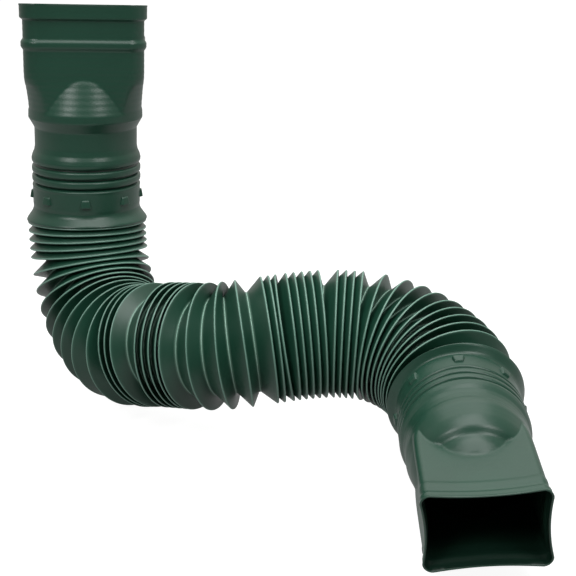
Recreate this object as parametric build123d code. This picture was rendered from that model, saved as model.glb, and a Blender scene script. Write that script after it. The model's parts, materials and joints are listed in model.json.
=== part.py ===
# Flexible downspout extension, one blow-moulded piece of dark green polyethylene.
# A large mouth that slips over a downspout, a latching bellows bent into an S, and a
# smaller mouth that lets the water out. Sizes in millimetres, +Z up, front towards -Y.
import os
from math import cos
from math import hypot
from math import pi
from math import radians
from math import sin
from math import sqrt
from build123d import *

# Every ring is drawn with flat facets, which keeps the many pleats light
sides = 18
corner_facets = 3
side_facets = 2

# Bellows. The short wall runs in from a crest and the long wall runs out to the next.
crest_radius = 52.2
short_wall = 12.8
long_wall = 17.5
least_fold = 4.0
most_undercut = 6.5
skin = 1.0
deepest_miter = 3.5
flare_radius = 54.0

# Neck between a mouth and the bellows
waist_radius = 46.3
band_radius = 47.0
band_height = 16.0
band_start = 3.0
groove_radius = 45.6
ring_radius = 47.5
ring_pitch = 8.6
bulge_radius = 47.6
bulge_height = 41.2
neck_radius = 44.4
neck_start = 49.0
neck_end = 70.0
shoulder_radius = 49.2
shoulder_height = 81.5
shoulder_band = 6.0
wall = 1.4
overlap = 1.0

# Lugs round the neck, each a ramp that is highest on the bellows' side
lug_count = 8
lug_rise = 2.0
lug_toe = 0.5
lug_width = 8.5
lug_length = 8.0
lug_foot = 5.0

# Inlet mouth, made to slip over a downspout
inlet_width = 103.2
inlet_depth = 76.4
inlet_corner = 13.8
inlet_bow = 0.8
inlet_length = 173.8
inlet_bead = 142.8
inlet_bead_rise = 1.9
inlet_collar = 11.1
inlet_collar_rise = 2.4
inlet_lobe_top = 115.5
inlet_roll = 8.5
inlet_lean_right = 2.1
inlet_lean_back = 0.8

# Outlet mouth, smaller, so that it drops into the inlet of a second length
outlet_width = 80.5
outlet_depth = 54.5
outlet_corner = 5.0
outlet_bow = 2.3
outlet_length = 157.0
outlet_bead = 142.0
outlet_bead_rise = 0.8
outlet_collar = 8.0
outlet_collar_rise = 1.2
outlet_lobe_step_radius = 33.5
outlet_lobe_step = 97.0
outlet_lobe_top = 106.0
outlet_roll = 0.5

# Both mouths
corner_dome = 108.5
bead_height = 9.5
ramp = 1.5
lip_rise = 0.6
least_corner = 2.0
dome_margin = 5.0
dome_turn = 0.35
lobe_sink = 8.0
cut_past = 5.0

# The bent bellows, one row for each run of pleats that are set alike: the number of
# pleats, then for each of them the pitch and its bend to the tube's right and to its
# front in degrees. A pleat that is shut has a short pitch and next to no bend.
runs = [
    (1, 7.5, 1, 2),
    (3, 7, 1.5, 1),
    (2, 13.5, 4.5, 9),
    (2, 15, 6, 10),
    (1, 17.5, 7, 12),
    (1, 16, 8.5, 7.5),
    (1, 15.5, 8.5, 4),
    (1, 17, 11.5, 5.5),
    (1, 13, 9.5, 5.5),
    (2, 7, -0.5, -1),
    (1, 15, 6.5, -11),
    (3, 7, -0.5, 0),
    (1, 4.5, -0.5, 0.5),
    (1, 14, 11, -5),
    (1, 14, 10.5, -5),
    (1, 13, 9.5, -4.5),
    (1, 20.5, 0.5, -1),
    (1, 6, -0.5, 0),
    (1, 7, -2.5, 3.5),
    (1, 6.5, 1, -3.5),
    (4, 6, -0.5, -0.5),
    (1, 11.5, -7.5, -1),
    (3, 6, -1, -0.5),
    (2, 13, -10.5, 0.5),
    (3, 11, -7.5, 1),
    (3, 9, -6, 0.5),
    (1, 10, -4.5, 1),
    (1, 16.5, -12, 2),
]
waist_in = (15, 1, 4.5)
waist_out = (15.5, -5.5, 11.5)


def step(plane, length, right, front):
    """The plane after one bend, which turns by half, runs its length and turns the rest."""
    turn = hypot(right, front)
    hinge = Axis((0, 0, 0), plane.y_dir * right - plane.x_dir * front)
    ahead = plane.z_dir.rotate(hinge, turn / 2)
    x_dir = plane.x_dir.rotate(hinge, turn)
    z_dir = plane.z_dir.rotate(hinge, turn)
    return Plane(origin=plane.origin + ahead * length, x_dir=x_dir, z_dir=z_dir)


def ring(plane, radius):
    """The corner points of one faceted ring."""
    points = []
    for k in range(sides):
        angle = 2 * pi * k / sides
        points.append(plane.from_local_coords(Vector(radius * cos(angle), radius * sin(angle), 0)))
    return points


def root(crest, after, center):
    """The root between two crest points, where the two walls of the pleat meet. The walls
    keep their lengths, so the root moves ahead as the pleat opens."""
    gap = after - crest
    ahead = gap.normalized()
    outwards = crest - center
    outwards = (outwards - ahead * outwards.dot(ahead)).normalized()
    along = (gap.length**2 + short_wall**2 - long_wall**2) / (2 * gap.length)
    along = max(-most_undercut, min(along, sqrt(short_wall**2 - least_fold**2)))
    return crest + ahead * along - outwards * sqrt(short_wall**2 - along**2)


def inner(before, point, after, tangent):
    """The point inside the skin, on the line that halves the angle between two walls."""
    first = (point - before).cross(tangent).normalized()
    second = (after - point).cross(tangent).normalized()
    middle = (first + second).normalized()
    return point + middle * min(skin / middle.dot(first), deepest_miter)


def lining(rings):
    """The rings of the inner skin, one for each ring of the outer."""
    rows = []
    for before, here, after in zip(rings, rings[1:], rings[2:]):
        row = []
        for k in range(sides):
            tangent = here[(k + 1) % sides] - here[k - 1]
            row.append(inner(before[k], here[k], after[k], tangent))
        rows.append(row)
    return rows


def polygon(points):
    """A closed wire through corner points."""
    return Wire.make_polygon(points, close=True)


def facets(rings):
    """Two flat triangles for each side between a ring and the next."""
    faces = []
    for here, after in zip(rings, rings[1:]):
        for k in range(sides):
            beside = (k + 1) % sides
            faces.append(Face(polygon([here[k], here[beside], after[beside]])))
            faces.append(Face(polygon([here[k], after[beside], after[k]])))
    return faces


def tube(rings):
    """A ruled solid through rings of corner points."""
    return Solid.make_loft([polygon(points) for points in rings], ruled=True)


def turned(rows):
    """A faceted solid of revolution about Z from its radius and height rows."""
    return tube([ring(Plane.XY.offset(height), radius) for radius, height in rows])


def mouth_section(width, depth, corner, bow, height):
    """The points of a rectangle with round corners whose sides bow inwards a little."""
    points = []
    for k in range(4):
        half, other = (width / 2, depth / 2) if k % 2 == 0 else (depth / 2, width / 2)
        straight = half - corner
        quarter = Pos(0, 0, height) * Rot(0, 0, 90 * k)
        for j in range(side_facets):
            share = 2 * j / side_facets - 1
            points.append((quarter * Pos(straight * share, bow * (1 - share**2) - other, 0)).position)
        for j in range(corner_facets):
            angle = radians(90 * j / corner_facets)
            x = straight + corner * sin(angle)
            y = corner - other - corner * cos(angle)
            points.append((quarter * Pos(x, y, 0)).position)
    return points


def adapter(
    width, depth, corner, bow, length, bead, bead_rise, collar, collar_rise, lobe, inset, over
):
    """Round neck, shoulder with its lobes and rectangular mouth, drawn in by inset."""
    foot = shoulder_height - shoulder_band / 2
    top = shoulder_height + shoulder_band / 2
    first_ring = band_height + ring_pitch - overlap
    neck_rows = [
        (waist_radius, 0),
        (band_radius, band_start),
        (band_radius, band_height),
        (groove_radius, first_ring - ring_pitch / 2),
        (ring_radius, first_ring),
        (groove_radius, first_ring + ring_pitch / 2),
        (ring_radius, first_ring + ring_pitch),
        (groove_radius, first_ring + ring_pitch * 1.5),
        (bulge_radius, bulge_height),
        (neck_radius, neck_start),
        (neck_radius, neck_end),
        (shoulder_radius, foot),
        (shoulder_radius, top),
    ]
    shoulder_rows = [(shoulder_radius, foot), (shoulder_radius, top)]
    closing = [(lobe[-1][0] - lobe_sink, lobe[-1][1] + lobe_sink)]
    reach = hypot(width, depth) / 2 + dome_margin
    half_reach = (shoulder_radius + reach) / 2
    dome_rows = [
        (half_reach, top + (corner_dome - top) * dome_turn),
        (reach, corner_dome),
        (reach, length + 2 * cut_past),
    ]
    neck = turned([(radius - inset, height) for radius, height in neck_rows])
    lobes = turned([(radius - inset, height) for radius, height in shoulder_rows + lobe + closing])
    dome = turned([(radius - inset, height) for radius, height in shoulder_rows + dome_rows])
    rows = [
        (foot, 0),
        (bead - bead_height / 2, 0),
        (bead - bead_height / 5, bead_rise),
        (bead + bead_height / 5, bead_rise),
        (bead + bead_height / 2, 0),
        (length - collar, 0),
        (length - collar + ramp, collar_rise),
        (length - ramp, collar_rise),
        (length, collar_rise + lip_rise),
    ]
    if over > 0:
        rows.append((length + over, collar_rise + lip_rise))
    sections = []
    for height, grow in rows:
        more = 2 * (grow - inset)
        bend = max(corner + grow - inset, least_corner)
        sections.append(mouth_section(width + more, depth + more, bend, bow, height))
    return neck + lobes + (tube(sections) & dome)


def lugs():
    """The row of latch lugs round the band."""
    outline = [
        (band_radius - overlap, lug_foot),
        (band_radius + lug_rise, lug_foot),
        (band_radius + lug_toe, lug_foot + lug_length),
        (band_radius - overlap, lug_foot + lug_length),
    ]
    face = make_face(Plane.XZ * Polyline(*outline, close=True))
    lug = extrude(face, lug_width / 2, both=True)
    return [Rot(0, 0, 360 / lug_count * k) * lug for k in range(lug_count)]


# The planes of the two waists and of every crest between them
lean = radians(inlet_lean_right)
down = (-sin(lean), sin(radians(inlet_lean_back)), -cos(lean))
planes = [Plane(origin=(0, 0, 0), x_dir=(cos(lean), 0, -sin(lean)), z_dir=down)]
planes.append(step(planes[-1], *waist_in))
for count, pitch, right, front in runs:
    for k in range(count):
        planes.append(step(planes[-1], pitch, right, front))
planes.append(step(planes[-1], *waist_out))
crests = planes[1:-1]

# The outer skin of the bellows from waist to waist, crest and root by turns
crest_rings = [ring(plane, crest_radius) for plane in crests]
crest_rings[0] = ring(crests[0], flare_radius)
crest_rings[-1] = ring(crests[-1], flare_radius)
skin_rings = [ring(planes[0], waist_radius), crest_rings[0]]
for plane, first, second in zip(crests, crest_rings, crest_rings[1:]):
    skin_rings.append([root(a, b, plane.origin) for a, b in zip(first, second)])
    skin_rings.append(second)
skin_rings.append(ring(planes[-1], waist_radius))
hollow_rings = [ring(planes[0], waist_radius - wall)]
hollow_rings += lining(skin_rings)
hollow_rings.append(ring(planes[-1], waist_radius - wall))

# Both adapters and what runs through them
inlet_plane = Plane(origin=planes[0].origin, x_dir=planes[0].x_dir, z_dir=planes[0].z_dir * -1)
inlet_place = inlet_plane.location * Rot(0, 0, inlet_roll)
outlet_place = planes[-1].location * Rot(0, 0, outlet_roll)
inlet_lobe = [(inlet_depth / 2, inlet_lobe_top)]
outlet_lobe = [(outlet_lobe_step_radius, outlet_lobe_step), (outlet_depth / 2, outlet_lobe_top)]
inlet = (inlet_width, inlet_depth, inlet_corner, inlet_bow, inlet_length)
inlet += (inlet_bead, inlet_bead_rise, inlet_collar, inlet_collar_rise, inlet_lobe)
outlet = (outlet_width, outlet_depth, outlet_corner, outlet_bow, outlet_length)
outlet += (outlet_bead, outlet_bead_rise, outlet_collar, outlet_collar_rise, outlet_lobe)
bellows_faces = facets(skin_rings) + facets(hollow_rings)
for end in (0, -1):
    bellows_faces.append(Face(polygon(skin_rings[end]), [polygon(hollow_rings[end])]))
pieces = [Solid(Shell(bellows_faces))]
for place, mouth in ((inlet_place, inlet), (outlet_place, outlet)):
    shell = (adapter(*mouth, 0, 0) + lugs()) - adapter(*mouth, wall, cut_past)
    pieces.append(place * shell)
extension = Part() + pieces

# The origin is the middle of the underside
box = extension.bounding_box()
extension = Pos(-box.center().X, -box.center().Y, -box.min.Z) * extension

os.makedirs("parts", exist_ok=True)
export_step(extension, "parts/downspout_extension.step")
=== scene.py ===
import json
import math
import bpy
import numpy as np
from mathutils import Matrix, Vector


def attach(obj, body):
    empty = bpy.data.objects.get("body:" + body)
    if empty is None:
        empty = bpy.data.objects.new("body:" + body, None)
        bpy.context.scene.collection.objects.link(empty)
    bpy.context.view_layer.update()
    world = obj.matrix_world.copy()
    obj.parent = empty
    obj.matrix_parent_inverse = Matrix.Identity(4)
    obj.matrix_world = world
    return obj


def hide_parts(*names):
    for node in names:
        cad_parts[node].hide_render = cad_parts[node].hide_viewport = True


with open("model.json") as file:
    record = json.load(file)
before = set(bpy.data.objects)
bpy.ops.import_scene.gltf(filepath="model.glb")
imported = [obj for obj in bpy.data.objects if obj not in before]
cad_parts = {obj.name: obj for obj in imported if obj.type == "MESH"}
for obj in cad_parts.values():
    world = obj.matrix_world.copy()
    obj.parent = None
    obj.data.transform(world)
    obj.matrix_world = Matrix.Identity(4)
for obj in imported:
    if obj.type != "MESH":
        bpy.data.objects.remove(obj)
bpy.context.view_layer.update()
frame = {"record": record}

METRES = 0.001

# Bellows. The short wall of a pleat runs in from a crest and the long wall runs out to
# the next. A pleat is never less deep than least_fold, and its root never lies further
# behind the crest than most_undercut. A row close to each end of a wall, at wall_edge of
# its length, keeps its shading flat.
bellows_sides = 128
crest_radius = 52.2
short_wall = 12.8
long_wall = 16.4
least_fold = 4.0
most_undercut = 6.5
least_gap = 3.4
wall_edge = 0.12
skin = 1.0
deepest_miter = 3.5
least_miter_share = 0.05

# The rounded folds. A bead reaches this far to each side of a crest, or less where the
# gap is narrow. Its shoulder and its drop are shares of that reach, and the shoulder's
# drop is a share of the drop. A root bead has its full size where the pleat is open by
# root_room of them.
crest_bead = 0.8
crest_bead_share = 0.3
crest_drop = 0.62
crest_shoulder = 0.6
crest_shoulder_drop = 0.25
root_bead = 0.5
root_bead_rise = 0.35
root_room = 6

# How strongly the rows beside a crest and a root are marked for the paler colour, which is partly stretched
# plastic and partly painted highlight
shoulder_mark = 0.7
crest_foot_mark = 0.1
root_foot_mark = 0.4

# The flare between a waist and its crest, as shares of the way and of the rise. Both
# leave the waist gently and swell to the lip, and the outlet's is the softer one.
waist_radius = 46.7
flare_radius = 53.2
lip_radius = 52.4
flare_rows = 20
flare_round = 0.03
inlet_flare = (
    (0, 0), (0.15, 0.05), (0.3, 0.17), (0.45, 0.4), (0.6, 0.66), (0.75, 0.91), (0.85, 1), (0.92, 0.94),
    (0.96, 0.76), (1, 0.88),
)
outlet_flare = (
    (0, 0), (0.15, 0.06), (0.3, 0.2), (0.5, 0.5), (0.7, 0.8), (0.85, 0.95), (0.92, 0.97), (0.96, 0.76),
    (1, 0.88),
)

# Neck between a mouth and the bellows. Heights are measured from the waist. The bulge is
# rows of a height over its start and a drop from its radius.
band_radius = 47.0
band_start = 3.0
band_height = 18.0
band_edge = 1.0
band_edge_rise = 0.4
groove_radius = 43.8
ring_radius = 47.5
ring_pitch = 8.2
first_ring = 25.7
ring_half = 3.5
ring_squareness = 4
bulge_radius = 47.6
bulge_start = 38.4
bulge_rows = ((0.6, 1.6), (2.2, 0.2), (4.6, 0), (8, 0.9))
bulge_length = 11.5
bulge_end_rise = 0.7
neck_radius = 44.4
neck_start = 54.0
shoulder_band = 6.0
wall = 1.4

# Lugs. A side rises to the full height over one part in lug_side_slope of the half width,
# and the foot and the toe do so over such a part of the length.
lug_count = 8
lug_rise = 2.7
lug_toe = 1.4
lug_width = 10.0
lug_top_width = 6.5
lug_length = 7.5
lug_foot = 6.5
lug_sink = 0.7
lug_cells = 14
lug_side_slope = 5
lug_foot_slope = 12
lug_toe_slope = 6

# Mouths. The shoulder is a radius and a height, the dome and the lobe are rows of them.
inlet = dict(
    width=101.0, depth=76.4, corner=13.8, bow=0.8, length=173.8,
    bead=142.8, bead_rise=1.9, collar=11.1, collar_rise=2.4,
    neck_end=70.0, shoulder=(49.2, 81.5),
    dome=((50.4, 93), (52, 100), (54.5, 107), (60, 115), (66, 122)),
    lobe=((38.2, 113.0),),
    rim_tilt=0.068, ridge=0.06,
)
outlet = dict(
    width=80.5, depth=54.5, corner=5.0, bow=2.3, length=157.0,
    bead=141.5, bead_rise=0.45, collar=8.0, collar_rise=1.2,
    neck_end=60.0, shoulder=(44.8, 65.5),
    dome=((46, 72), (48, 79), (50, 86), (54, 95)),
    lobe=(
        (43.4, 75.0), (42.0, 81.0), (40.8, 84.0), (39.3, 87.0), (37.5, 90.0), (33.4, 92.6), (31.6, 97.5),
        (26.8, 104.5),
    ),
    rim_tilt=0.0, ridge=0.012,
)
inlet_roll = 8.5
inlet_tilt = 0.7
outlet_roll = 0.5
inlet_lean_right = 2.1
inlet_lean_back = 0.8
lobe_run = 32.0
bead_half = 4.75
bead_top_half = 1.9
ramp = 1.5
lip_rise = 0.6
lip_round = 0.5
least_corner = 2.0
ridge_pitch = 5.0

# How softly two walls meet and the corners of a profile are rounded
crease = 0.5
soft_crease = 2.5
edge_round = 0.4
dome_round = 2.0
lobe_round = 1.3
round_samples = 7

# Points round a mouth and along its outline, and the spacing of its rows
mouth_sides = 288
side_points = 41
corner_points = 21
neck_spacing = 0.6
outer_spacing = 1.1
inner_spacing = 3.0

# The set of the bellows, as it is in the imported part: how many pleats are set alike,
# their pitch, and how far each one bends to the right and to the front
runs = [
    (1, 7.5, 1, 2),
    (3, 7, 1.5, 1),
    (2, 13.5, 4.5, 9),
    (2, 15, 6, 10),
    (1, 17.5, 7, 12),
    (1, 16, 8.5, 7.5),
    (1, 15.5, 8.5, 4),
    (1, 17, 11.5, 5.5),
    (1, 13, 9.5, 5.5),
    (2, 7, -0.5, -1),
    (1, 15, 6.5, -11),
    (3, 7, -0.5, 0),
    (1, 4.5, -0.5, 0.5),
    (1, 14, 11, -5),
    (1, 14, 10.5, -5),
    (1, 13, 9.5, -4.5),
    (1, 20.5, 0.5, -1),
    (1, 6, -0.5, 0),
    (1, 7, -2.5, 3.5),
    (1, 6.5, 1, -3.5),
    (4, 6, -0.5, -0.5),
    (1, 11.5, -7.5, -1),
    (3, 6, -1, -0.5),
    (2, 13, -10.5, 0.5),
    (3, 11, -7.5, 1),
    (3, 9, -6, 0.5),
    (1, 10, -4.5, 1),
    (1, 16.5, -12, 2),
]
waist_in = (15, 1, 4.5)
waist_out = (15.5, -5.5, 11.5)

# Shading of the meshes: an edge that turns by more than this stays sharp
shell_smooth = 35
lug_smooth = 50

# Plastic. Each mark has its name, its share and its colour. The grain's depth is in
# metres.
dark_green = (0.008, 0.046, 0.027, 1)
light_green = (0.011, 0.058, 0.035, 1)
cloud_scale = 14
cloud_detail = 4
cloud_span = (0.3, 0.7)
plastic_marks = (
    # The crest and root colours are paler lines, partly stretched plastic and partly painted highlight
    ("crest", 0.9, (0.17, 0.33, 0.26, 1)),
    ("root", 0.9, (0.26, 0.44, 0.35, 1)),
    # Inside: painted shade on the inner walls
    ("inside", 0.8, (0.003, 0.011, 0.007, 1)),
)
grain_scale = 420
grain_detail = 3
grain_strength = 0.12
grain_depth = 0.0005
plastic_roughness = 0.36
plastic_ior = 1.5

# The colour sockets of a mix node
mix_first = 6
mix_second = 7
mix_result = 2

# Floor
floor_half = 6.0
floor_front = -0.7
floor_back = 12.0
floor_gray = (0.3, 0.3, 0.3, 1)
floor_seen = 0.92
floor_mirrored = 0.28

# Sky, with its strength in front of the object and behind it, and the span of directions
# from one to the other
sky_white = (1, 1, 1, 1)
sky_color = (1, 0.97, 0.93, 1)
sky_span = (-0.5, 0.5)
sky_front = 0.14
sky_back = 0.65

# Camera, fitted to the crests, rings and rims in the photo
camera_place = (0.03670, -0.85544, 0.39356)
camera_azimuth = -0.624
camera_down = 16.537
camera_roll = -0.682
camera_lens = 72.17
camera_sensor = 36


def unit(vectors):
    return vectors / np.linalg.norm(vectors, axis=-1, keepdims=True)


def turned(vector, axis, degrees):
    """A vector turned about an axis."""
    return np.array(Matrix.Rotation(math.radians(degrees), 3, Vector(axis)) @ Vector(vector))


def step(plane, length, right, front):
    """The plane after one bend, which turns by half, runs its length and turns the rest."""
    origin, x, y, z = plane
    turn = math.hypot(right, front)
    hinge = unit(y * right - x * front)
    ahead = turned(z, hinge, turn / 2)
    return origin + ahead * length, turned(x, hinge, turn), turned(y, hinge, turn), turned(z, hinge, turn)


def ring(plane, radius, angles):
    """The points of a ring round a plane's origin, with one radius or one for each angle."""
    origin, x, y = plane[:3]
    radius = np.broadcast_to(radius, angles.shape)[:, None]
    return origin + radius * (np.cos(angles)[:, None] * x + np.sin(angles)[:, None] * y)


def mesh_object(name, points, faces, smooth_angle, marks=None):
    """A mesh with its normals outwards and, where given, a number per point for the shader."""
    corners = points[faces]
    volume = np.einsum("ij,ij->", corners[:, 0], np.cross(corners[:, 1], corners[:, 2]))
    volume += np.einsum("ij,ij->", corners[:, 0], np.cross(corners[:, 2], corners[:, 3]))
    if volume < 0:
        faces = faces[:, ::-1]
    mesh = bpy.data.meshes.new(name)
    mesh.from_pydata((points * METRES).tolist(), [], faces.tolist())
    for mark, values in (marks or {}).items():
        layer = mesh.attributes.new(mark, "FLOAT", "POINT")
        layer.data.foreach_set("value", np.asarray(values, dtype=np.float32).ravel())
    mesh.polygons.foreach_set("use_smooth", [True] * len(mesh.polygons))
    mesh.set_sharp_from_angle(angle=math.radians(smooth_angle))
    mesh.update()
    thing = bpy.data.objects.new(name, mesh)
    bpy.context.scene.collection.objects.link(thing)
    return thing


def closed_shell(name, rows, marks):
    """A shell from rings of points, joined round each ring and from the last ring to the first."""
    rows = np.asarray(rows)
    count, sides = rows.shape[:2]
    i, k = np.meshgrid(np.arange(count), np.arange(sides), indexing="ij")
    following, beside = (i + 1) % count, (k + 1) % sides
    corners = (i * sides + k, i * sides + beside, following * sides + beside, following * sides + k)
    faces = np.stack(corners, axis=-1).reshape(-1, 4)
    return mesh_object(name, rows.reshape(-1, 3), faces, shell_smooth, marks)


# The planes of the two waists and of every crest, from the inlet's mount on
mounts = {mount["name"]: mount for mount in frame["record"]["mounts"]}
inlet_mount = mounts["inlet_mouth"]
inlet_axis = unit(np.array(inlet_mount["axis"]))
inlet_waist = np.array(inlet_mount["pos_m"]) / METRES - inlet_axis * inlet["length"]
lean = math.radians(inlet_lean_right)
start_z = unit(np.array((-math.sin(lean), math.sin(math.radians(inlet_lean_back)), -math.cos(lean))))
start_x = np.array((math.cos(lean), 0, -math.sin(lean)))
planes = [(inlet_waist, start_x, np.cross(start_z, start_x), start_z)]
planes.append(step(planes[-1], *waist_in))
for count, pitch, right, front in runs:
    for _ in range(count):
        planes.append(step(planes[-1], pitch, right, front))
planes.append(step(planes[-1], *waist_out))
crests = planes[1:-1]


def outward(points, center, ahead):
    """The directions away from a center, at right angles to the way ahead."""
    out = points - center
    return unit(out - ahead * np.sum(out * ahead, axis=1, keepdims=True))


def fold_rows(first, second, first_center, second_center):
    """The rows of one pleat, from the crest at first to just before the crest at second,
    and the root. Both walls keep their length however far the pleat is open."""
    gap = np.linalg.norm(second - first, axis=1, keepdims=True)
    ahead = (second - first) / gap
    out = outward(first, first_center, ahead)
    next_out = outward(second, second_center, ahead)
    bead = np.minimum(crest_bead, gap * crest_bead_share)
    drop = bead * crest_drop
    opening = np.maximum(gap - 2 * bead, least_gap)
    along = (opening**2 + short_wall**2 - long_wall**2) / (2 * opening)
    along = np.clip(along, -most_undercut, math.sqrt(short_wall**2 - least_fold**2))
    depth = np.sqrt(short_wall**2 - along**2) + drop
    root = first + ahead * (bead + along) - out * depth
    near = first + ahead * bead - out * drop
    far = second - ahead * bead - next_out * drop
    size = np.minimum(1, opening / (root_room * root_bead))
    half = ahead * root_bead * size
    rise = out * root_bead_rise * size
    near_root = root - half
    far_root = root + half
    shoulder = ahead * bead * crest_shoulder
    shoulder_drop = drop * crest_shoulder_drop
    # Each row holds its points, its crest mark and its root mark; the marks paint the paler fold colour,
    # which is partly painted highlight
    rows = [
        (first, 1, 0),
        (first + shoulder - out * shoulder_drop, shoulder_mark, 0),
        (near, crest_foot_mark, 0),
        (near + (near_root - near) * wall_edge, 0, 0),
        (near_root + (near - near_root) * wall_edge, 0, 0),
        (near_root, 0, root_foot_mark),
        (root - half / 2 + rise, 0, 1),
        (root + half / 2 + rise, 0, 1),
        (far_root, 0, root_foot_mark),
        (far_root + (far - far_root) * wall_edge, 0, 0),
        (far + (far_root - far) * wall_edge, 0, 0),
        (far, crest_foot_mark, 0),
        (second - shoulder - next_out * shoulder_drop, shoulder_mark, 0),
    ]
    return rows, root


def rounded(height, rows, reach=edge_round):
    """The value of a row of (height, value) points at a height, with its corners rounded."""
    heights, values = zip(*rows)
    return float(np.mean(np.interp(height + np.linspace(-reach, reach, round_samples), heights, values)))


def flare(waist, crest, angles, profile):
    """Rows from the waist to the lip of the flare, without the lip."""
    rows = []
    for t in np.linspace(0, 1, flare_rows, endpoint=False):
        radius = waist_radius + (flare_radius - waist_radius) * rounded(t, profile, flare_round)
        rows.append(ring(waist, radius, angles) * (1 - t) + ring(crest, radius, angles) * t)
    return rows


def lining(rings):
    """The rings of the inner skin, by moving each fold to where the two inner faces meet,
    but by no more than the deepest miter."""
    rings = np.asarray(rings)
    here, before, after = rings[1:-1], rings[:-2], rings[2:]
    around = np.roll(here, -1, axis=1) - np.roll(here, 1, axis=1)
    first = unit(np.cross(here - before, around))
    second = unit(np.cross(after - here, around))
    middle = unit(first + second)
    share = np.sum(middle * first, axis=-1, keepdims=True)
    shift = skin / np.maximum(share, least_miter_share)
    return list(here + middle * np.minimum(shift, deepest_miter))


def make_bellows():
    """The bellows with both flares. Each row has its points, its crest mark and its root mark."""
    angles = np.linspace(0, 2 * math.pi, bellows_sides, endpoint=False)
    radii = [lip_radius] + [crest_radius] * (len(crests) - 2) + [lip_radius]
    tops = [ring(plane, radius, angles) for plane, radius in zip(crests, radii)]
    rows = [(points, 0, 0) for points in flare(planes[0], crests[0], angles, inlet_flare)]
    folds = [ring(planes[0], waist_radius, angles), tops[0]]
    for i in range(len(crests) - 1):
        pleat, root = fold_rows(tops[i], tops[i + 1], crests[i][0], crests[i + 1][0])
        rows += pleat
        folds += [root, tops[i + 1]]
    rows.append((tops[-1], 1, 0))
    last = flare(planes[-1], crests[-1], angles, outlet_flare)
    rows += [(points, 0, 0) for points in reversed(last)]
    folds.append(ring(planes[-1], waist_radius, angles))
    inside = [ring(planes[0], waist_radius - wall, angles)]
    inside += lining(folds)
    inside.append(ring(planes[-1], waist_radius - wall, angles))
    rows += [(points, 0, 0) for points in reversed(inside)]
    # The crest and root marks carry the paler fold colour, which is partly painted highlight
    crest_mark = np.repeat([row[1] for row in rows], bellows_sides)
    root_mark = np.repeat([row[2] for row in rows], bellows_sides)
    return closed_shell("bellows", [row[0] for row in rows], {"crest": crest_mark, "root": root_mark})


def outline(width, depth, corner, bow):
    """The points, angles and radii of a rectangle with round corners whose sides bow inwards."""
    points = []
    for k in range(4):
        half, other = (width / 2, depth / 2) if k % 2 == 0 else (depth / 2, width / 2)
        straight = half - corner
        turn = math.radians(90 * k)
        side = [(straight * t, bow * (1 - t * t) - other) for t in np.linspace(-1, 1, side_points)]
        for a in np.radians(np.linspace(0, 90, corner_points)[1:-1]):
            side.append((straight + corner * math.sin(a), corner - other - corner * math.cos(a)))
        for x, y in side:
            points.append((x * math.cos(turn) - y * math.sin(turn), x * math.sin(turn) + y * math.cos(turn)))
    points = np.array(points)
    angles = np.unwrap(np.arctan2(points[:, 1], points[:, 0]))
    return points, angles, np.hypot(points[:, 0], points[:, 1])


def radius_at(angles, mouth, grow, inset):
    """The radius of the mouth's outline at each angle."""
    more = 2 * (grow - inset)
    corner = max(mouth["corner"] + grow - inset, least_corner)
    _, known, radii = outline(mouth["width"] + more, mouth["depth"] + more, corner, mouth["bow"])
    known = np.concatenate((known, known[:1] + 2 * math.pi))
    radii = np.concatenate((radii, radii[:1]))
    wrapped = (angles - known[0]) % (2 * math.pi) + known[0]
    return np.interp(wrapped, known, radii)


def even_angles(mouth):
    """Angles whose points lie evenly along the mouth's outline."""
    points, angles, _ = outline(mouth["width"], mouth["depth"], mouth["corner"], mouth["bow"])
    points = np.vstack((points, points[:1]))
    angles = np.concatenate((angles, angles[:1] + 2 * math.pi))
    run = np.concatenate(([0], np.cumsum(np.linalg.norm(np.diff(points, axis=0), axis=1))))
    return np.interp(np.linspace(0, run[-1], mouth_sides, endpoint=False), run, angles)


def larger(a, b):
    """The larger of two radii, with a small fillet where they cross."""
    return (a + b + np.sqrt((a - b) ** 2 + crease**2)) / 2


def smaller(a, b):
    """The smaller of two radii, with a soft edge where they cross."""
    return (a + b - np.sqrt((a - b) ** 2 + soft_crease**2)) / 2


def ring_rise(height, center):
    """How far a ring of the neck rises over the groove at a height."""
    flat = max(0, 1 - ((height - center) / ring_half) ** ring_squareness)
    return (ring_radius - groove_radius) * math.sqrt(flat)


def neck_radius_at(height, mouth):
    """The radius of the neck, from the waist to the foot of the shoulder."""
    shoulder_radius, shoulder_height = mouth["shoulder"]
    rows = [
        (0, waist_radius),
        (band_start, band_radius),
        (band_height, band_radius),
        (band_height + band_edge, band_radius + band_edge_rise),
        (band_height + 2 * band_edge, band_radius),
        (first_ring - ring_pitch / 2, groove_radius),
        (bulge_start, groove_radius),
    ]
    rows += [(bulge_start + over, bulge_radius - drop) for over, drop in bulge_rows]
    rows += [
        (bulge_start + bulge_length, neck_radius + bulge_end_rise),
        (neck_start, neck_radius),
        (mouth["neck_end"], neck_radius),
        (shoulder_height - shoulder_band / 2, shoulder_radius),
    ]
    rings = ring_rise(height, first_ring) + ring_rise(height, first_ring + ring_pitch)
    return rounded(height, rows) + rings


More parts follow.
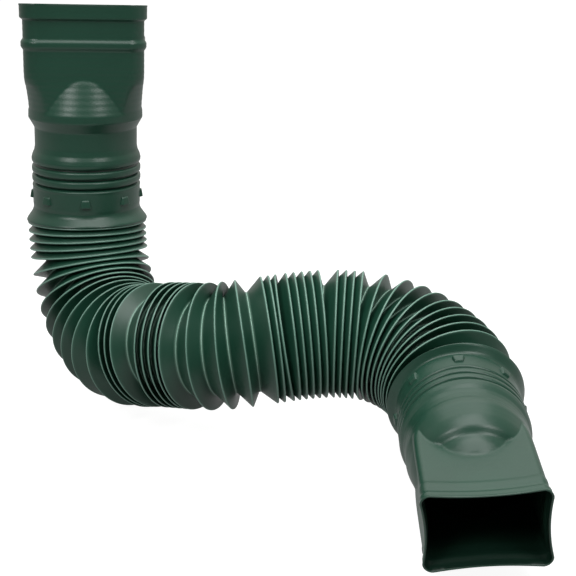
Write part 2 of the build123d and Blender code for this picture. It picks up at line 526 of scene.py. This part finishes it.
def mouth_radius(mouth, angles, height, inset, ridges):
    """The distance of the wall from the axis at each angle, at one height."""
    shoulder_radius, shoulder_height = mouth["shoulder"]
    if height < shoulder_height - shoulder_band / 2:
        return np.full(angles.shape, neck_radius_at(height, mouth) - inset)
    top = (shoulder_height + shoulder_band / 2, shoulder_radius)
    length, bead, collar = mouth["length"], mouth["bead"], mouth["length"] - mouth["collar"]
    grow = rounded(height, (
        (bead - bead_half, 0),
        (bead - bead_top_half, mouth["bead_rise"]),
        (bead + bead_top_half, mouth["bead_rise"]),
        (bead + bead_half, 0),
        (collar, 0),
        (collar + ramp, mouth["collar_rise"]),
        (length - ramp, mouth["collar_rise"]),
        (length, mouth["collar_rise"] + lip_rise),
    ))
    ridge = mouth["ridge"] * math.cos(2 * math.pi * height / ridge_pitch) if ridges else 0
    dome_rows = [top] + [(h, r) for r, h in mouth["dome"]]
    dome = rounded(height, dome_rows, dome_round) - inset
    lobe_rows = [top] + [(h, r) for r, h in mouth["lobe"]]
    end_height, end_radius = lobe_rows[-1]
    lobe_rows.append((end_height + lobe_run, end_radius - lobe_run))
    lobe = rounded(height, lobe_rows, lobe_round) - inset
    return larger(smaller(radius_at(angles, mouth, grow, inset), dome), lobe) + ridge


def heights_between(breaks, spacing):
    """Heights about evenly spaced, with every break among them."""
    heights = []
    for low, high in zip(breaks, breaks[1:]):
        heights += list(np.linspace(low, high, max(1, round((high - low) / spacing)), endpoint=False))
    return heights + [breaks[-1]]


def make_adapter(name, mouth, place):
    """Neck, shoulder and mouth as one shell that is open at both ends of its bore."""
    angles = even_angles(mouth)
    origin, _, y, z = place
    length = mouth["length"]
    collar = length - mouth["collar"]
    shoulder_height = mouth["shoulder"][1]
    neck = (0, band_start, band_height, shoulder_height - shoulder_band / 2)
    body = (
        neck[-1],
        shoulder_height + shoulder_band / 2,
        mouth["bead"] - bead_half,
        mouth["bead"] + bead_half,
        collar,
        collar + ramp,
        length - lip_round,
    )

    def row(height, inset, ridges, grow=0):
        """One ring of the wall. Near the rim it leans, because the mouth is cut at a slant."""
        points = ring(place, mouth_radius(mouth, angles, height, inset, ridges) + grow, angles)
        slant = mouth["rim_tilt"] * max(0, height - collar) / mouth["collar"]
        return points + z * (height - slant * ((points - origin) @ y)[:, None])

    rows = [row(height, 0, True) for height in heights_between(neck, neck_spacing)[:-1]]
    rows += [row(height, 0, True) for height in heights_between(body, outer_spacing)]
    rows.append(row(length, 0, False, -lip_round))
    outside = len(rows)
    rows.append(row(length, wall, False, lip_round))
    rows += [row(height, wall, False) for height in reversed(heights_between(neck[:1] + body, inner_spacing))]
    # The inner rows are marked for the painted shade of the inside
    inside = np.arange(len(rows)) > outside
    return closed_shell(name, rows, {"inside": np.repeat(inside, mouth_sides)})


def lug_height(u, v):
    """How far a lug rises over the band, across it from -1 to 1 and along it from 0 to 1."""
    edge = min(1, (1 - abs(u)) * lug_side_slope, v * lug_foot_slope, (1 - v) * lug_toe_slope)
    soft = edge * edge * (3 - 2 * edge)
    return soft * (lug_rise + (lug_toe - lug_rise) * v) + lug_sink * (soft - 1)


def make_lugs(name, place):
    """Latch lugs round the band, each a ramp that is highest on the bellows' side."""
    origin, x, y, z = place
    points = []
    faces = []
    for k in range(lug_count):
        middle = 2 * math.pi * k / lug_count
        for front in (True, False):
            start = len(points)
            for v in np.linspace(0, 1, lug_cells + 1):
                half = (lug_width + (lug_top_width - lug_width) * v) / 2
                for u in np.linspace(-1, 1, lug_cells + 1):
                    radius = band_radius + (lug_height(u, v) if front else -lug_sink)
                    angle = middle + u * half / band_radius
                    direction = x * math.cos(angle) + y * math.sin(angle)
                    points.append(origin + z * (lug_foot + v * lug_length) + direction * radius)
            for j in range(lug_cells):
                for i in range(lug_cells):
                    a = start + j * (lug_cells + 1) + i
                    quad = (a, a + 1, a + lug_cells + 2, a + lug_cells + 1)
                    faces.append(quad if front else quad[::-1])
    return mesh_object(name, np.array(points), np.array(faces), lug_smooth)


def placed(plane, along, roll):
    """A frame for an adapter at a waist, turned about its own axis."""
    origin, x = plane[:2]
    side = turned(x, along, roll)
    return origin, side, np.cross(along, side), along


def node(tree, kind, inputs=None, operation=None):
    """A new shader node with some of its inputs set."""
    made = tree.nodes.new(kind)
    if operation:
        made.operation = operation
    for name, value in (inputs or {}).items():
        made.inputs[name].default_value = value
    return made


def plastic():
    """Satin dark green polyethylene, paler along the crests and roots of the folds, partly as stretched
    plastic and partly as painted highlight, and darker inside with painted shade.
    """
    material = bpy.data.materials.new("green_plastic")
    material.use_nodes = True
    tree = material.node_tree
    link = tree.links.new
    shader = tree.nodes["Principled BSDF"]
    shader.inputs["Roughness"].default_value = plastic_roughness
    shader.inputs["IOR"].default_value = plastic_ior
    place = node(tree, "ShaderNodeTexCoord")
    clouds = node(tree, "ShaderNodeTexNoise", {"Scale": cloud_scale, "Detail": cloud_detail})
    link(place.outputs["Object"], clouds.inputs["Vector"])
    tint = node(tree, "ShaderNodeValToRGB")
    for stop, position, shade in zip(tint.color_ramp.elements, cloud_span, (dark_green, light_green)):
        stop.position = position
        stop.color = shade
    link(clouds.outputs["Fac"], tint.inputs["Fac"])
    color = tint.outputs["Color"]
    # The marks mix in the paler crest and root colours, which are partly painted highlight, and the painted
    # shade of the inside
    for name, share, other in plastic_marks:
        mark = node(tree, "ShaderNodeAttribute")
        mark.attribute_name = name
        strength = node(tree, "ShaderNodeMath", {1: share}, "MULTIPLY")
        link(mark.outputs["Fac"], strength.inputs[0])
        mix = node(tree, "ShaderNodeMix")
        mix.data_type = "RGBA"
        link(strength.outputs[0], mix.inputs[0])
        link(color, mix.inputs[mix_first])
        mix.inputs[mix_second].default_value = other
        color = mix.outputs[mix_result]
    link(color, shader.inputs["Base Color"])
    grain = node(tree, "ShaderNodeTexNoise", {"Scale": grain_scale, "Detail": grain_detail})
    link(place.outputs["Object"], grain.inputs["Vector"])
    bumps = node(tree, "ShaderNodeBump", {"Strength": grain_strength, "Distance": grain_depth})
    link(grain.outputs["Fac"], bumps.inputs["Height"])
    link(bumps.outputs["Normal"], shader.inputs["Normal"])
    return material


def floor_paint():
    """White to the camera, grey in reflections and matte to the light."""
    paint = bpy.data.materials.new("floor")
    paint.use_nodes = True
    tree = paint.node_tree
    tree.nodes.clear()
    link = tree.links.new
    path = node(tree, "ShaderNodeLightPath")
    mirrored = node(tree, "ShaderNodeMath", {1: floor_mirrored}, "MULTIPLY")
    link(path.outputs["Is Glossy Ray"], mirrored.inputs[0])
    strength = node(tree, "ShaderNodeMath", {1: floor_seen}, "MULTIPLY_ADD")
    link(path.outputs["Is Camera Ray"], strength.inputs[0])
    link(mirrored.outputs[0], strength.inputs[2])
    matte = node(tree, "ShaderNodeBsdfDiffuse", {"Color": floor_gray})
    glow = node(tree, "ShaderNodeEmission")
    link(strength.outputs[0], glow.inputs["Strength"])
    both = node(tree, "ShaderNodeAddShader")
    link(matte.outputs[0], both.inputs[0])
    link(glow.outputs[0], both.inputs[1])
    link(both.outputs[0], node(tree, "ShaderNodeOutputMaterial").inputs["Surface"])
    return paint


def make_floor():
    """A floor that ends in front of the object, out of the camera's view."""
    mesh = bpy.data.meshes.new("floor")
    corners = [
        (-floor_half, floor_front, 0),
        (floor_half, floor_front, 0),
        (floor_half, floor_back, 0),
        (-floor_half, floor_back, 0),
    ]
    mesh.from_pydata(corners, [], [(0, 1, 2, 3)])
    mesh.materials.append(floor_paint())
    thing = bpy.data.objects.new("floor", mesh)
    bpy.context.scene.collection.objects.link(thing)
    return thing


def make_sky():
    """Sky, white to the camera. To everything else it is a warm white studio, bright
    behind the object and dim in front of it."""
    world = bpy.data.worlds.new("sky")
    bpy.context.scene.world = world
    world.use_nodes = True
    tree = world.node_tree
    tree.nodes.clear()
    link = tree.links.new
    place = node(tree, "ShaderNodeTexCoord")
    parts = node(tree, "ShaderNodeSeparateXYZ")
    link(place.outputs["Generated"], parts.inputs[0])
    front, back = sky_span
    strength = node(tree, "ShaderNodeMapRange", {
        "From Min": front, "From Max": back, "To Min": sky_front, "To Max": sky_back,
    })
    link(parts.outputs["Y"], strength.inputs["Value"])
    light = node(tree, "ShaderNodeBackground", {"Color": sky_color})
    link(strength.outputs[0], light.inputs["Strength"])
    seen = node(tree, "ShaderNodeBackground", {"Color": sky_white})
    path = node(tree, "ShaderNodeLightPath")
    mix = node(tree, "ShaderNodeMixShader")
    link(path.outputs["Is Camera Ray"], mix.inputs[0])
    link(light.outputs[0], mix.inputs[1])
    link(seen.outputs[0], mix.inputs[2])
    link(mix.outputs[0], node(tree, "ShaderNodeOutputWorld").inputs["Surface"])


def softbox(name, place, target, width, height, watts):
    """A soft rectangular lamp aimed at a point."""
    lamp = bpy.data.lights.new(name, "AREA")
    lamp.shape = "RECTANGLE"
    lamp.size = width
    lamp.size_y = height
    lamp.energy = watts
    thing = bpy.data.objects.new(name, lamp)
    thing.location = place
    thing.rotation_euler = (Vector(target) - Vector(place)).to_track_quat("-Z", "Y").to_euler()
    bpy.context.scene.collection.objects.link(thing)


def make_camera():
    """The camera at its place, aimed by azimuth, tilt and roll."""
    data = bpy.data.cameras.new("camera")
    data.lens = camera_lens
    data.sensor_width = camera_sensor
    azimuth, down = math.radians(camera_azimuth), math.radians(camera_down)
    level = math.cos(down)
    gaze = Vector((math.sin(azimuth) * level, math.cos(azimuth) * level, -math.sin(down)))
    upright = gaze.to_track_quat("-Z", "Y").to_matrix().to_4x4()
    roll = Matrix.Rotation(math.radians(camera_roll), 4, "Z")
    thing = bpy.data.objects.new("camera", data)
    thing.matrix_world = Matrix.Translation(camera_place) @ upright @ roll
    bpy.context.scene.collection.objects.link(thing)
    return thing


# The object
inlet_place = placed(planes[0], turned(-planes[0][3], (0, 1, 0), inlet_tilt), inlet_roll)
outlet_place = placed(planes[-1], planes[-1][3], outlet_roll)
shown = [
    make_bellows(),
    make_adapter("inlet_adapter", inlet, inlet_place),
    make_adapter("outlet_adapter", outlet, outlet_place),
    make_lugs("inlet_lugs", inlet_place),
    make_lugs("outlet_lugs", outlet_place),
]
green = plastic()
for piece in shown:
    piece.data.materials.append(green)
    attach(piece, "root")
    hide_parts("downspout_extension")

# The stage, the light and the camera
floor = make_floor()
make_sky()
softbox("back", place=(0, 0.9, 1.5), target=(0, 0, 0.1), width=2.0, height=1.2, watts=9)
softbox("overhead", place=(0.1, -0.3, 1.7), target=(0, 0, 0.1), width=1.4, height=1.1, watts=18)
softbox("left", place=(-0.9, -1.2, 1.5), target=(-0.1, 0, 0.15), width=0.6, height=0.6, watts=13)
softbox("right", place=(0.95, -0.95, 1.5), target=(0.05, 0, 0.15), width=0.6, height=0.6, watts=10)
bpy.context.scene.camera = make_camera()
bpy.context.scene.view_settings.view_transform = "Standard"
